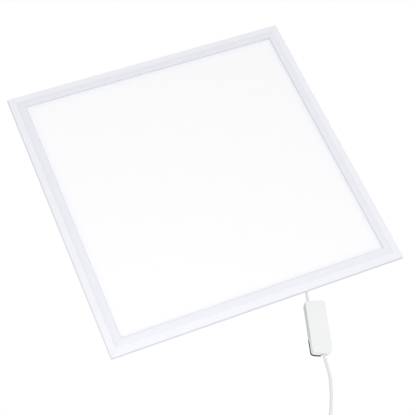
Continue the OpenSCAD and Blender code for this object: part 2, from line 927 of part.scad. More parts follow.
// Input capacitor lying down and output capacitor standing
module capacitors() {
  color([0.15, 0.17, 0.3])
    in_driver() {
      z_rod(input_cap_at[0], part_y + input_cap_r + 0.2, input_cap_at[1], input_cap_at[1] + input_cap_l,
        input_cap_r, input_cap_r);
      y_rod(output_cap_at[0], output_cap_at[1], part_y, part_y + output_cap_h, output_cap_r, output_cap_r);
    }
}

// Common-mode choke: a ring core with its winding
module choke() {
  color([0.7, 0.4, 0.2])
    in_driver()
      translate([choke_at[0], part_y + choke_wire_r + 0.3, choke_at[1]])
        rotate([90, 0, 0])
          rotate_extrude()
            translate([choke_r, 0])
              circle(r = choke_wire_r);
}

module rectifier() {
  color([0.15, 0.15, 0.15])
    in_driver()
      span(rectifier_x, [part_y, part_y + rectifier_h], rectifier_z);
}

// Switching transistor standing against the heat sink
module power_switch() {
  color([0.13, 0.13, 0.14])
    in_driver()
      span(switch_x, [part_y, part_y + switch_h], switch_z);
}

// Bent aluminium heat sink with three fins
module heat_sink() {
  fin_pitch = (sink_z[1] - sink_z[0] - fin_t) / 2;
  color([0.75, 0.76, 0.78])
    in_driver() {
      span(sink_x, [part_y, part_y + sink_h], sink_z);
      for (i = [0:2])
        span([sink_x[1] - 0.5, fin_out], [part_y + 1, part_y + sink_h],
          [sink_z[0] + i * fin_pitch, sink_z[0] + i * fin_pitch + fin_t]);
    }
}

// Glass fuse in its sleeve
module fuse() {
  color([0.9, 0.88, 0.8])
    in_driver()
      z_rod(fuse_at[0], part_y + fuse_r + 0.2, fuse_at[1], fuse_at[1] + fuse_l, fuse_r, fuse_r);
}

// Two-pole mains terminal inside the flap
module mains_terminal() {
  wall = 3;
  color([0.2, 0.45, 0.3])
    in_driver()
      difference() {
        span([terminal_x[0] - wall, terminal_x[1] + wall], [part_y, terminal_top], terminal_z);
        for (x = terminal_x) {
          y_rod(x, terminal_screw_z, terminal_screw_y - mains_screw[1] - loose, terminal_top + 1, 2, 2);
          z_rod(x, -1.4, terminal_z[0] - 1, terminal_z[0] + 6, 1.5, 1.5);
        }
      }
}

module mains_terminal_screws() {
  color([0.78, 0.78, 0.76])
    in_driver()
      for (x = terminal_x)
        translate([x, terminal_screw_y, terminal_screw_z])
          screw(mains_screw);
}

// Two-pole output terminal at the lead end
module output_terminal() {
  wall = 2.3;
  color([0.2, 0.45, 0.3])
    in_driver()
      difference() {
        span([output_x[0] - wall, output_x[1] + wall], [part_y, part_y + output_h], output_z);
        for (x = output_x)
          y_rod(x, output_screw_z, part_y + 6, part_y + output_h + 1, 1.4, 1.4);
      }
}

module output_terminal_screws() {
  color([0.78, 0.78, 0.76])
    in_driver()
      for (x = output_x)
        translate([x, part_y + 7.2, output_screw_z])
          screw(output_screw);
}

// Bar that clamps the mains cord on the base of the terminal space
module cord_clamp() {
  color([0.9, 0.9, 0.88])
    in_driver()
      difference() {
        span([cord_x - 6.4, cord_x + 5], [cord_r - 0.9, clamp_top], clamp_z);
        z_rod(cord_x, 0, clamp_z[0] - 3, clamp_z[1] + 7, cord_r + slack, cord_r + slack);
        y_rod(clamp_screw_at[0], clamp_screw_at[1], -10, 20, clamp_screw[0] + loose, clamp_screw[0] + loose);
      }
}

module cord_clamp_screws() {
  color([0.75, 0.76, 0.78])
    in_driver()
      translate([clamp_screw_at[0], clamp_top + slack, clamp_screw_at[1]])
        screw(clamp_screw);
}

// The end of the mains cord inside the driver, held by the clamp
module cord_root() {
  color([0.9, 0.9, 0.92])
    in_driver()
      z_rod(cord_x, 0, cord_start + cord_r + 0.4, cord_root_end, cord_r, cord_r);
}

// Live and neutral cores from the cord to the mains terminal
module mains_tails() {
  start_z = cord_root_end + slack;
  in_driver() {
    color([0.45, 0.26, 0.14])
      wire([
        [cord_x - core_apart, 0.2, start_z],
        [cord_x - core_apart, 0.2, box_end + 11.9],
        [cord_x - 2.9, -2.5, box_end + 12.2],
        [terminal_x[0], -2.5, box_end + 12.2],
        [terminal_x[0], -1.4, terminal_z[0] - 0.6],
        [terminal_x[0], -1.4, terminal_z[0] + 3]
      ], core_r);
    color([0.15, 0.3, 0.65])
      wire([
        [cord_x + core_apart, 0, start_z],
        [cord_x + core_apart, 0, box_end + 14.5],
        [terminal_x[1], 0.2, box_end + 14.5],
        [terminal_x[1], -1.4, terminal_z[0] + 0.2],
        [terminal_x[1], -1.4, terminal_z[0] + 3]
      ], core_r);
  }
}

// Centre line of the mains cord: a straight run and two bends, with children at its far end
module along_cord() {
  translate([cord_x, 0, cord_start])
    rotate([0, -cord_angle, 0])
      translate([0, 0, -cord_run])
        after_bend(cord_bend_1)
          after_bend(cord_bend_2)
            translate([0, 0, -cord_end_run])
              children();
}

// Thin band that joins two stretches of the cord into one solid
module seam_band() {
  z_rod(0, 0, -0.2, 0.2, cord_r + 0.03, cord_r + 0.03);
}

module mains_cord() {
  ends = 5;
  color([0.88, 0.89, 0.92])
    in_driver()
      translate([cord_x, 0, cord_start])
        rotate([0, -cord_angle, 0]) {
          rotate_extrude()
            polygon(concat([[0, -cord_run], [cord_r, -cord_run]], arc([0, 0], cord_r, 0, 90, ends)));
          translate([0, 0, -cord_run]) {
            seam_band();
            tube_bend(cord_bend_1, cord_r);
            after_bend(cord_bend_1) {
              seam_band();
              tube_bend(cord_bend_2, cord_r);
              after_bend(cord_bend_2) {
                seam_band();
                z_rod(0, 0, -cord_end_run, 0, cord_r, cord_r);
              }
            }
          }
        }
}

// Insulated cores beyond the end of the sheath
module cord_cores() {
  in_driver()
    along_cord()
      for (i = [0, 1])
        color(i == 0 ? [0.45, 0.26, 0.14] : [0.15, 0.3, 0.65])
          z_rod((2 * i - 1) * core_apart, 0, -bare_from, -slack, core_r, core_r);
}

// Crimped ferrules on the bare ends
module core_ferrules() {
  color([0.8, 0.8, 0.78])
    in_driver()
      along_cord()
        for (i = [0, 1]) {
          z_rod((2 * i - 1) * core_apart, 0, -bare_from - 2, -bare_from - slack, collar_r, collar_r);
          z_rod((2 * i - 1) * core_apart, 0, -bare_from - ferrule_l, -bare_from - 1.9, ferrule_r, ferrule_r);
        }
}

frame_rail_bottom();
frame_rail_top();
frame_rail_left();
frame_rail_right();
corner_keys();
corner_screws();
diffuser_sheet();
light_guide();
guide_bumpers();
reflector_film();
foam_pad();
led_board_left();
led_board_right();
led_chips();
board_wires();
back_plate();
back_plate_screws();
suspension_nuts();
lead_grommet();
lead_gland();
gland_screws();
lead_root();
output_lead();
lead_boot();
lead_tail();
driver_cover();
driver_base();
driver_screws();
driver_board();
board_screws();
insulation_sheet();
transformer_core();
transformer_winding();
capacitors();
choke();
rectifier();
power_switch();
heat_sink();
fuse();
mains_terminal();
mains_terminal_screws();
output_terminal();
output_terminal_screws();
cord_clamp();
cord_clamp_screws();
cord_root();
mains_tails();
terminal_flap();
flap_pad();
flap_pin();
mains_cord();
cord_cores();
core_ferrules();
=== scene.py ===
# Looks of the LED panel light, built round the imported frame. Lengths are in metres, as in the frame;
# names that end in _mm hold millimetres.
import json
import math

import bmesh
import bpy
from mathutils import Matrix, Vector


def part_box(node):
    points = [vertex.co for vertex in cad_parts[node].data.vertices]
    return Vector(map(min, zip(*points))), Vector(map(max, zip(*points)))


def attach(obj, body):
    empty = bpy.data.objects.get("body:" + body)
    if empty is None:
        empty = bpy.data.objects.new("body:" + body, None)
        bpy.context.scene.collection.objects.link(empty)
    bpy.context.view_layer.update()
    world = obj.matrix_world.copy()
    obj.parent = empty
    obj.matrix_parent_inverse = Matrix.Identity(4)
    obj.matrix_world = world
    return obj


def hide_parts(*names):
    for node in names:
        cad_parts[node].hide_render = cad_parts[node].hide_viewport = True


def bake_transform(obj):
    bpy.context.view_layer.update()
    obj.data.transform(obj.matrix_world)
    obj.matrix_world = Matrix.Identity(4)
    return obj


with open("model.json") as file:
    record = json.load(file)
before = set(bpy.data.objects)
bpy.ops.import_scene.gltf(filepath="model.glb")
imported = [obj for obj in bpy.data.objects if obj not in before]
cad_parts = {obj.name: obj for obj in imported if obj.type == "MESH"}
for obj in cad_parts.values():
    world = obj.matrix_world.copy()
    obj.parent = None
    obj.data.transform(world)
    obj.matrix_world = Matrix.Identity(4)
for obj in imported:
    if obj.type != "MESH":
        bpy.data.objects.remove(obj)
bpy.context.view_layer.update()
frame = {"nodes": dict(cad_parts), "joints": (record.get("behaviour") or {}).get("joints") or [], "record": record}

record = frame["record"]
joints = {joint["name"]: joint for joint in frame["joints"]}
MM = 0.001


# ---- Places worked out from the frame ---------------------------------------------------------

def joint_at(name):
    """A joint's pivot at rest."""
    return Vector(joints[name]["pos_m"])


def joint_axis(name):
    """A joint's axis at rest."""
    return Vector(joints[name]["axis"]).normalized()


def node_points(*names):
    """Every vertex of some CAD nodes."""
    return [vertex.co.copy() for name in names for vertex in frame["nodes"][name].data.vertices]


def extent(points, direction):
    """Lowest and highest place of some points along a direction."""
    along = [point.dot(direction) for point in points]
    return min(along), max(along)


# The driver's own axes: x across its width, y from its front to its rear, z up its length.
driver_x = joint_axis("lead_bend")
driver_z = -joint_axis("flap_hinge")
driver_y = driver_z.cross(driver_x)
box_points = node_points("driver_cover", "driver_base")
box_front, box_rear = extent(box_points, driver_y)
box_low, box_high = extent(box_points, driver_z)


def in_driver(x, y, z):
    """The point with these distances along the driver's axes."""
    return driver_x * x + driver_y * y + driver_z * z


def driver_place(point):
    """A point's distances along the driver's axes."""
    return point.dot(driver_x), point.dot(driver_y), point.dot(driver_z)


# ---- Mesh helpers ------------------------------------------------------------------------------

SMOOTH_ANGLE = math.radians(35)


def make_object(name, mesh, slot, smooth_angle=SMOOTH_ANGLE):
    """An object with smooth shading up to an angle, in its material slot's finish."""
    mesh.shade_smooth()
    mesh.set_sharp_from_angle(angle=smooth_angle)
    mesh.materials.append(MATERIALS[slot])
    piece = bpy.data.objects.new(name, mesh)
    bpy.context.scene.collection.objects.link(piece)
    return piece


def finished_mesh(shape, name):
    """A mesh made from an edited shape, which is then let go."""
    mesh = bpy.data.meshes.new(name)
    shape.to_mesh(mesh)
    shape.free()
    return mesh


def ring(shape, centre, radius, side_axis, other, sides):
    """New vertices round a centre, in the plane of two directions."""
    angles = [2 * math.pi * k / sides for k in range(sides)]
    outward = [math.cos(angle) * side_axis + math.sin(angle) * other for angle in angles]
    return [shape.verts.new(centre + radius * out) for out in outward]


def join_rings(shape, low, high):
    """New faces between two rings of vertices."""
    sides = len(low)
    for k in range(sides):
        after = (k + 1) % sides
        shape.faces.new((low[k], low[after], high[after], high[k]))


MERGE_DISTANCE = 0.002 * MM
FLAT_ANGLE = math.radians(0.4)


def softened(node, name, body, rules):
    """A copy of a CAD node with eased edges, which stands for the node.

    rules is a list of (test, radius, segments). Each eases the sharp edges that its test picks.
    A radius is the most that a rule can give: the shortest edge that it meets limits the whole rule."""
    shape = bmesh.new()
    shape.from_mesh(frame["nodes"][node].data)
    bmesh.ops.remove_doubles(shape, verts=shape.verts, dist=MERGE_DISTANCE)
    bmesh.ops.dissolve_limit(
        shape, angle_limit=FLAT_ANGLE, verts=shape.verts, edges=shape.edges
    )
    for test, radius, segments in rules:
        sharp = [
            edge
            for edge in shape.edges
            if edge.is_manifold and edge.calc_face_angle() > SMOOTH_ANGLE and test(edge)
        ]
        bmesh.ops.bevel(
            shape,
            geom=sharp,
            offset=radius,
            segments=segments,
            profile=0.5,
            affect="EDGES",
            clamp_overlap=True,
        )
    mesh = finished_mesh(shape, name)
    if "custom_normal" in mesh.attributes:
        mesh.attributes.remove(mesh.attributes["custom_normal"])
    mesh.materials.clear()
    piece = make_object(name, mesh, node_slot[node])
    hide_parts(node)
    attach(piece, body)
    return piece


def smooth_path(points, step):
    """Evenly spaced points on a smooth curve through some points."""
    count = len(points)
    gaps = [(points[i + 1] - points[i]).length for i in range(count - 1)]
    slopes = [(points[i + 1] - points[i]) / gaps[i] for i in range(count - 1)]
    tangents = [slopes[0]]
    for i in range(1, count - 1):
        before, after = gaps[i - 1], gaps[i]
        tangents.append((slopes[i - 1] * after + slopes[i] * before) / (before + after))
    tangents.append(slopes[-1])
    path = []
    for i in range(count - 1):
        pieces = max(1, round(gaps[i] / step))
        for k in range(pieces):
            t = k / pieces
            h1 = 2 * t**3 - 3 * t**2 + 1
            h2 = t**3 - 2 * t**2 + t
            h3 = 3 * t**2 - 2 * t**3
            h4 = t**3 - t**2
            pull = h2 * gaps[i] * tangents[i] + h4 * gaps[i] * tangents[i + 1]
            path.append(h1 * points[i] + h3 * points[i + 1] + pull)
    path.append(points[-1].copy())
    return path


def tube(name, path, radius, slot, sides=32):
    """A closed round tube along a path, with slightly rounded ends."""
    shape = bmesh.new()
    rings = []
    side_axis = path[0].orthogonal().normalized()
    end_round = radius * 0.12
    first = (path[1] - path[0]).normalized()
    last = (path[-1] - path[-2]).normalized()
    stations = [(path[0], radius - end_round), (path[0] + first * end_round, radius)]
    stations += [(point, radius) for point in path[1:-1]]
    stations += [(path[-1] - last * end_round, radius), (path[-1], radius - end_round)]
    for i, (centre, size) in enumerate(stations):
        ahead = stations[min(i + 1, len(stations) - 1)][0] - stations[max(i - 1, 0)][0]
        ahead.normalize()
        side_axis = (side_axis - ahead * side_axis.dot(ahead)).normalized()
        other = ahead.cross(side_axis)
        rings.append(ring(shape, centre, size, side_axis, other, sides))
    for low, high in zip(rings, rings[1:]):
        join_rings(shape, low, high)
    shape.faces.new(list(reversed(rings[0])))
    shape.faces.new(rings[-1])
    bmesh.ops.recalc_face_normals(shape, faces=shape.faces)
    return make_object(name, finished_mesh(shape, name), slot, smooth_angle=math.radians(60))


def lathe(name, profile, foot, axis, slot, sides=48):
    """A ring-shaped solid: a closed outline of (radius, height) turned about an axis from its foot."""
    side_axis = axis.orthogonal().normalized()
    other = axis.cross(side_axis)
    shape = bmesh.new()
    rings = [
        ring(shape, foot + axis * height, radius, side_axis, other, sides) for radius, height in profile
    ]
    for low, high in zip(rings, rings[1:] + rings[:1]):
        join_rings(shape, low, high)
    bmesh.ops.recalc_face_normals(shape, faces=shape.faces)
    return make_object(name, finished_mesh(shape, name), slot)


# ---- Materials ---------------------------------------------------------------------------------

node_slot = {part["node"]: part["material_slot"] for part in record["subparts"]}
slot_colour = {entry["slot"]: entry["base_color"] for entry in record["materials"]}
MATERIALS = {}


class Finish:
    """The nodes of one material slot, round a principled shader."""

    def __init__(self, slot):
        self.material = bpy.data.materials.new("finish_" + slot)
        self.material.use_nodes = True
        self.tree = self.material.node_tree
        self.shader = self.tree.nodes["Principled BSDF"]
        self.colour = list(slot_colour[slot][:3])
        self.place = self.add("ShaderNodeTexCoord").outputs["Object"]
        MATERIALS[slot] = self.material

    def add(self, kind, inputs=None, **settings):
        """A node with its settings, and its inputs set to values or linked to sockets."""
        node = self.tree.nodes.new(kind)
        for key, value in settings.items():
            setattr(node, key, value)
        for key, value in (inputs or {}).items():
            if isinstance(value, bpy.types.NodeSocket):
                self.tree.links.new(value, node.inputs[key])
            else:
                node.inputs[key].default_value = value
        return node

    def noise(self, size_mm, detail=3.0, stretch=(1, 1, 1)):
        """Noise whose lumps have this size, from 0 to 1."""
        spread = self.add("ShaderNodeMapping", {"Vector": self.place, "Scale": stretch})
        inputs = {"Vector": spread.outputs["Vector"], "Scale": 1 / (size_mm * MM), "Detail": detail}
        return self.add("ShaderNodeTexNoise", inputs).outputs["Fac"]

    def ranged(self, value, low, high, start=0.3, end=0.7):
        """A value moved from start..end to low..high."""
        inputs = {"Value": value, "From Min": start, "From Max": end, "To Min": low, "To Max": high}
        return self.add("ShaderNodeMapRange", inputs).outputs["Result"]

    def maths(self, operation, first, second=0.0):
        """One sum, product or other operation on two values."""
        return self.add("ShaderNodeMath", {0: first, 1: second}, operation=operation).outputs["Value"]

    def mix(self, factor, first, second):
        """A colour between two colours."""
        inputs = {0: factor, 6: opaque(first), 7: opaque(second)}
        return self.add("ShaderNodeMix", inputs, data_type="RGBA").outputs[2]

    def toned(self, spread, size_mm=60):
        """The slot's colour, a little darker and lighter from place to place."""
        dark = [part * (1 - spread) for part in self.colour]
        light = [min(1, part * (1 + spread)) for part in self.colour]
        return self.mix(self.ranged(self.noise(size_mm, 2.0), 0, 1), dark, light)

    def set(self, **inputs):
        """Sets or links the shader's inputs; an underscore stands for a space."""
        for key, value in inputs.items():
            socket = self.shader.inputs[key.replace("_", " ")]
            if isinstance(value, bpy.types.NodeSocket):
                self.tree.links.new(value, socket)
            else:
                socket.default_value = value

    def bump(self, height, depth_mm, strength=1.0):
        """Raises the surface by a height value."""
        inputs = {"Height": height, "Distance": depth_mm * MM, "Strength": strength}
        self.set(Normal=self.add("ShaderNodeBump", inputs).outputs["Normal"])


def opaque(colour):
    """A colour with an alpha of 1, or a socket as it is."""
    if isinstance(colour, bpy.types.NodeSocket):
        return colour
    return (*colour[:3], 1.0)


def moulded(slot, roughness=0.45, grain_mm=0.35, depth_mm=0.01, spread=0.012):
    """Moulded plastic with a fine spark texture."""
    finish = Finish(slot)
    grain = finish.noise(grain_mm, 4.0)
    finish.set(
        Base_Color=finish.toned(spread),
        Roughness=finish.ranged(grain, roughness - 0.05, roughness + 0.07),
    )
    finish.bump(grain, depth_mm)
    return finish


def coated(slot, roughness=0.4, peel_mm=1.6, depth_mm=0.006):
    """Satin powder coat with a slight orange peel."""
    finish = Finish(slot)
    peel = finish.noise(peel_mm, 2.0)
    fine = finish.noise(0.25, 3.0)
    both = finish.maths("ADD", peel, finish.maths("MULTIPLY", fine, 0.25))
    finish.set(
        Base_Color=finish.toned(0.006, 90),
        Roughness=finish.ranged(fine, roughness - 0.04, roughness + 0.06),
    )
    finish.bump(both, depth_mm)
    return finish


def half_opening():
    """Half the width of the frame's opening, measured at its lip."""
    return -extent(node_points("frame_rail_left"), Vector((1, 0, 0)))[1]


def frame_coat():
    """The frame's powder coat: a little darker on the raised inner band, with painted shade at the lip and painted
    light and shade on the outer sides.
    """
    finish = coated("white_frame")
    flange = next(mount for mount in record["mounts"] if mount["name"] == "grid_face_bottom")["pos_m"][1]
    rail = node_points("frame_rail_left")
    half_side = -extent(rail, Vector((1, 0, 0)))[0]
    lip_front = extent(rail, Vector((0, 1, 0)))[0]
    opening = half_opening()
    parts = finish.add("ShaderNodeSeparateXYZ", {0: finish.place}).outputs
    up = finish.maths("ABSOLUTE", parts["Z"])
    reach = finish.maths("MAXIMUM", finish.maths("ABSOLUTE", parts["X"]), up)
    raised = finish.ranged(parts["Y"], 1, 0, flange - 1.2 * MM, flange - 0.5 * MM)
    # Painted shade: the lip's inner edge, and the wall behind it, are darker where the lip meets the diffuser.
    lip = finish.ranged(reach, 1, 0, opening + 0.4 * MM, opening + 0.6 * MM)
    behind_edge = finish.ranged(parts["Y"], 0, 1, lip_front + 0.4 * MM, lip_front + 0.7 * MM)
    inside = finish.mix(behind_edge, LIP_EDGE_SHADE, LIP_WALL_SHADE)
    # Painted light and shade on the outer sides: the upright sides get darker upwards, and the top and bottom
    # sides are darker, more so to the right.
    side_start = half_side - 0.25 * MM
    side_end = half_side - 0.05 * MM
    side = finish.ranged(reach, 0, 1, side_start, side_end)
    level = finish.ranged(up, 0, 1, side_start, side_end)
    height = finish.ranged(parts["Z"], 0, 1, -half_side, half_side)
    across = finish.ranged(parts["X"], 0, 1, -half_side, half_side)
    outer = finish.mix(finish.ranged(finish.noise(90, 2.0), 0, 1), *OUTER_BAND)
    face = finish.mix(lip, finish.mix(raised, outer, INNER_BAND), inside)
    upright = finish.mix(height, SIDE_LIT_LOW, SIDE_SHADE_HIGH)
    flat = finish.mix(across, LEVEL_SHADE_LEFT, LEVEL_SHADE_RIGHT)
    finish.set(Base_Color=finish.mix(side, face, finish.mix(level, upright, flat)))


def driver_plastic():
    """White moulded plastic, with painted shade on the driver's long sides above the flap, and painted light on
    its lower end face and on the sides beside the flap.
    """
    finish = moulded("white_plastic")
    normal = finish.add("ShaderNodeTexCoord").outputs["Normal"]
    along_x = {0: normal, 1: driver_x}
    sideways = finish.add("ShaderNodeVectorMath", along_x, operation="DOT_PRODUCT").outputs["Value"]
    along_z = {0: normal, 1: driver_z}
    endways = finish.add("ShaderNodeVectorMath", along_z, operation="DOT_PRODUCT").outputs["Value"]
    height = finish.add("ShaderNodeVectorMath", {0: finish.place, 1: driver_z}, operation="DOT_PRODUCT")
    flap_top = extent(node_points("terminal_flap"), driver_z)[1]
    above_flap = finish.ranged(height.outputs["Value"], 0, 1, flap_top - 4 * MM, flap_top + 1 * MM)
    on_side = finish.ranged(finish.maths("ABSOLUTE", sideways), 0, 1, 0.5, 0.95)
    # Painted shade on the long sides above the flap, and painted light on the end face and on the sides beside the
    # flap.
    shaded_side = finish.maths("MULTIPLY", on_side, above_flap)
    at_end = finish.ranged(endways, 1, 0, -0.95, -0.6)
    lit_faces = finish.maths("MAXIMUM", at_end, finish.maths("SUBTRACT", on_side, shaded_side))
    base = finish.toned(0.01)
    grey = [part * PAINTED_SHADE_SHARE for part in finish.colour]
    bright = [part * PAINTED_LIGHT_SHARE for part in finish.colour]
    finish.set(Base_Color=finish.mix(shaded_side, finish.mix(lit_faces, base, bright), grey))


def metal(slot, roughness=0.3, stretch=(1, 1, 14)):
    """Bare metal with fine drawn lines and a little tarnish."""
    finish = Finish(slot)
    lines = finish.noise(1.2, 4.0, stretch)
    tarnish = finish.noise(6, 3.0)
    dull = [part * 0.82 for part in finish.colour]
    colour = finish.mix(finish.ranged(tarnish, 0, 1), dull, finish.colour)
    finish.set(
        Base_Color=colour,
        Metallic=1.0,
        Roughness=finish.ranged(lines, roughness - 0.08, roughness + 0.12),
    )
    finish.bump(lines, 0.01)
    return finish


def rubber(slot, roughness=0.6, spread=0.06, wear=0.12):
    """Moulded rubber with a faint bloom and worn edges."""
    finish = Finish(slot)
    bloom = finish.noise(3.0, 5.0)
    worn = finish.ranged(finish.add("ShaderNodeNewGeometry").outputs["Pointiness"], 0, 0.5, 0.5, 0.58)
    grey = [part * 0.7 + wear for part in finish.colour]
    colour = finish.mix(worn, finish.toned(spread, 12), grey)
    finish.set(Base_Color=colour, Roughness=finish.ranged(bloom, roughness - 0.08, roughness + 0.12))
    finish.bump(finish.noise(0.5, 4.0), 0.015)
    return finish


def sheath(slot, roughness=0.34):
    """Smooth extruded cable sheath, with slow drawn waves along it."""
    finish = Finish(slot)
    waves = finish.noise(9.0, 2.0)
    fine = finish.noise(0.4, 3.0)
    finish.set(
        Base_Color=finish.toned(0.015, 25),
        Roughness=finish.ranged(fine, roughness - 0.05, roughness + 0.06),
        Coat_Weight=0.08,
    )
    finish.bump(waves, 0.05, 0.5)
    return finish


def clear(slot, roughness, index, tint_mm=40):
    """Clear plastic or glass with faint flow lines."""
    finish = Finish(slot)
    flow = finish.noise(tint_mm, 2.0)
    finish.set(
        Base_Color=finish.toned(0.02, tint_mm),
        Roughness=finish.ranged(flow, roughness, roughness + 0.05),
        Transmission_Weight=0.9,
        IOR=index,
    )
    finish.bump(flow, 0.02, 0.3)
    return finish


def wires(slot, other):
    """Insulated wires, each one in one of two colours."""
    finish = Finish(slot)
    island = finish.add("ShaderNodeNewGeometry").outputs["Random Per Island"]
    colour = finish.mix(finish.maths("GREATER_THAN", island, 0.5), finish.toned(0.05, 8), other)
    finish.set(Base_Color=colour, Roughness=finish.ranged(finish.noise(0.6), 0.3, 0.42))
    finish.bump(finish.noise(4.0, 2.0), 0.03)
    return finish


def opal_diffuser():
    """Opal sheet, lit from behind: even over its middle, a little dimmer and bluer beside the frame."""
    finish = Finish("opal_diffuser")
    falloff = 18 * MM
    contact = 3 * MM
    corner = 12 * MM
    parts = finish.add("ShaderNodeSeparateXYZ", {0: finish.place}).outputs
    across = finish.maths("ABSOLUTE", parts["X"])
    up = finish.maths("ABSOLUTE", parts["Z"])
    reach = finish.add("ShaderNodeMath", {0: across, 1: up, 2: corner}, operation="SMOOTH_MAX").outputs[0]
    depth_in = finish.maths("SUBTRACT", half_opening(), reach)
    lit = finish.add(
        "ShaderNodeMapRange",
        {"Value": depth_in, "From Min": 0.0, "From Max": falloff, "To Min": 0.0, "To Max": 1.0},
        interpolation_type="SMOOTHERSTEP",
    ).outputs["Result"]
    shade = finish.ranged(depth_in, CONTACT_SHADE, 1.0, 0.0, contact)
    prisms = finish.noise(0.5, 2.0)
    base = finish.mix(lit, DIFFUSER_EDGE, DIFFUSER_MIDDLE)
    shaded = finish.add("ShaderNodeVectorMath", {0: base, "Scale": shade}, operation="SCALE")
    drift = finish.ranged(finish.noise(70, 2.0), 0.995, 1.005)
    finish.set(
        Base_Color=shaded.outputs["Vector"],
        Roughness=finish.ranged(prisms, 0.5, 0.62),
        Emission_Color=finish.mix(lit, GLOW_EDGE, GLOW_MIDDLE),
        Emission_Strength=finish.maths("MULTIPLY", shade, drift),
    )
    finish.bump(prisms, 0.01)
    return finish


def circuit_board():
    """Green solder mask over faint copper tracks."""
    finish = Finish("green_board")
    tracks = finish.add(
        "ShaderNodeTexBrick",
        {
            "Vector": finish.place,
            "Color1": (0, 0, 0, 1),
            "Color2": (0.2, 0.2, 0.2, 1),
            "Mortar": (1, 1, 1, 1),
            "Scale": 90.0,
            "Mortar Size": 0.06,
        },
    ).outputs["Fac"]
    copper = [0.12, 0.42, 0.2]
    finish.set(Base_Color=finish.mix(tracks, finish.toned(0.1, 6), copper), Roughness=0.3, Coat_Weight=0.4)
    finish.bump(tracks, 0.04)
    return finish


def phosphor():
    """White LED housings with a yellow face towards the light guide."""
    finish = Finish("led_phosphor")
    normal = finish.add("ShaderNodeNewGeometry").outputs["Normal"]
    side = finish.maths("ABSOLUTE", finish.add("ShaderNodeSeparateXYZ", {0: normal}).outputs["X"])
    face = finish.maths("GREATER_THAN", side, 0.7)
    colour = finish.mix(face, [0.9, 0.9, 0.88], finish.toned(0.05, 2))
    finish.set(Base_Color=colour, Roughness=finish.ranged(finish.noise(0.3), 0.3, 0.5))
    finish.bump(finish.noise(0.3), 0.02)
    return finish


def banded(slot, band_mm, depth_mm, metallic, roughness):
    """Turns of wire or tape side by side."""
    finish = Finish(slot)
    inputs = {"Vector": finish.place, "Scale": 1 / (band_mm * MM) / 6.28, "Distortion": 0.3}
    bands = finish.add("ShaderNodeTexWave", inputs, bands_direction="Z").outputs["Fac"]
    dark = [part * 0.6 for part in finish.colour]
    finish.set(Base_Color=finish.mix(bands, dark, finish.colour), Metallic=metallic, Roughness=roughness)
    finish.bump(bands, depth_mm)
    return finish


def foam(slot):
    """Fine cell foam."""
    finish = Finish(slot)
    inputs = {"Vector": finish.place, "Scale": 900.0}
    cells = finish.add("ShaderNodeTexVoronoi", inputs, feature="DISTANCE_TO_EDGE").outputs["Distance"]
    finish.set(Base_Color=finish.toned(0.04, 8), Roughness=0.9)
    finish.bump(cells, 0.3)
    return finish


# Colours that the record's slots don't hold, as linear red, green and blue
OUTER_BAND = (0.925, 0.93, 0.985), (0.935, 0.94, 0.99)
INNER_BAND = (0.885, 0.89, 0.94)
# Painted shade at the frame's lip: its inner edge, and the wall behind it
LIP_EDGE_SHADE = (0.45, 0.47, 0.52)
LIP_WALL_SHADE = (0.8, 0.82, 0.87)
# Painted shade on the frame's top and bottom sides, from left to right
LEVEL_SHADE_LEFT = (0.82, 0.85, 0.89)
LEVEL_SHADE_RIGHT = (0.75, 0.78, 0.83)
# Painted light and shade on the frame's left and right sides, from bottom to top
SIDE_LIT_LOW = (0.96, 0.97, 0.99)
SIDE_SHADE_HIGH = (0.79, 0.81, 0.84)
DIFFUSER_MIDDLE = (0.72, 0.72, 0.725)
DIFFUSER_EDGE = (0.71, 0.715, 0.735)
GLOW_MIDDLE = (0.284, 0.284, 0.292)
GLOW_EDGE = (0.258, 0.258, 0.27)
BLACK_WIRE = (0.015, 0.015, 0.017)

# Shares of a colour: painted shadow on the diffuser beside the lip, and painted shade and light on the driver's
# plastic
CONTACT_SHADE = 0.985
PAINTED_SHADE_SHARE = 0.86
PAINTED_LIGHT_SHARE = 1.07


def make_materials():
    """One finish for every material slot of the record."""
    frame_coat()
    coated("white_steel", roughness=0.5, peel_mm=2.2)
    driver_plastic()
    moulded("black_moulding", roughness=0.5, spread=0.08)
    moulded("green_moulding", roughness=0.42, spread=0.05)
    moulded("white_board", roughness=0.4, grain_mm=0.6)
    moulded("white_film", roughness=0.25, grain_mm=2.0, depth_mm=0.004)
    moulded("dark_ferrite", roughness=0.6, grain_mm=0.5, depth_mm=0.03, spread=0.1)
    moulded("capacitor_sleeve", roughness=0.3, grain_mm=3.0, depth_mm=0.02, spread=0.06)
    metal("bare_aluminium")
    metal("zinc_screws", roughness=0.35, stretch=(1, 1, 1))
    rubber("grey_silicone")
    rubber("grey_rubber")
    rubber("black_rubber", roughness=0.85, wear=0.02)
    sheath("white_cable")
    wires("red_insulation", BLACK_WIRE)
    wires("brown_insulation", slot_colour["blue_insulation"])
    wires("blue_insulation", slot_colour["brown_insulation"])
    clear("clear_acrylic", 0.05, 1.49)
    clear("clear_film", 0.15, 1.5)
    clear("clear_glass", 0.02, 1.5, tint_mm=6)
    banded("yellow_tape", 1.0, 0.05, 0.0, 0.35)
    banded("copper_winding", 0.6, 0.25, 0.6, 0.35)
    foam("white_foam")
    opal_diffuser()
    circuit_board()
    phosphor()


def dress_cad_nodes():
    """Gives every CAD node its slot's finish."""
    for name, node in frame["nodes"].items():
        if not node.material_slots:
            node.data.materials.append(None)
        for holder in node.material_slots:
            holder.link = "OBJECT"
            holder.material = MATERIALS[node_slot[name]]


# ---- The panel's frame -------------------------------------------------------------------------

def make_rails():
    """Four rails with the soft edges of a coated extrusion."""
    long_edge = 200 * MM
    for side in ("bottom", "top", "left", "right"):
        softened(
            "frame_rail_" + side,
            "rail_" + side,
            "panel",
            [(lambda edge: edge.calc_length() > long_edge, 0.25 * MM, 2)],
        )


# ---- The driver --------------------------------------------------------------------------------

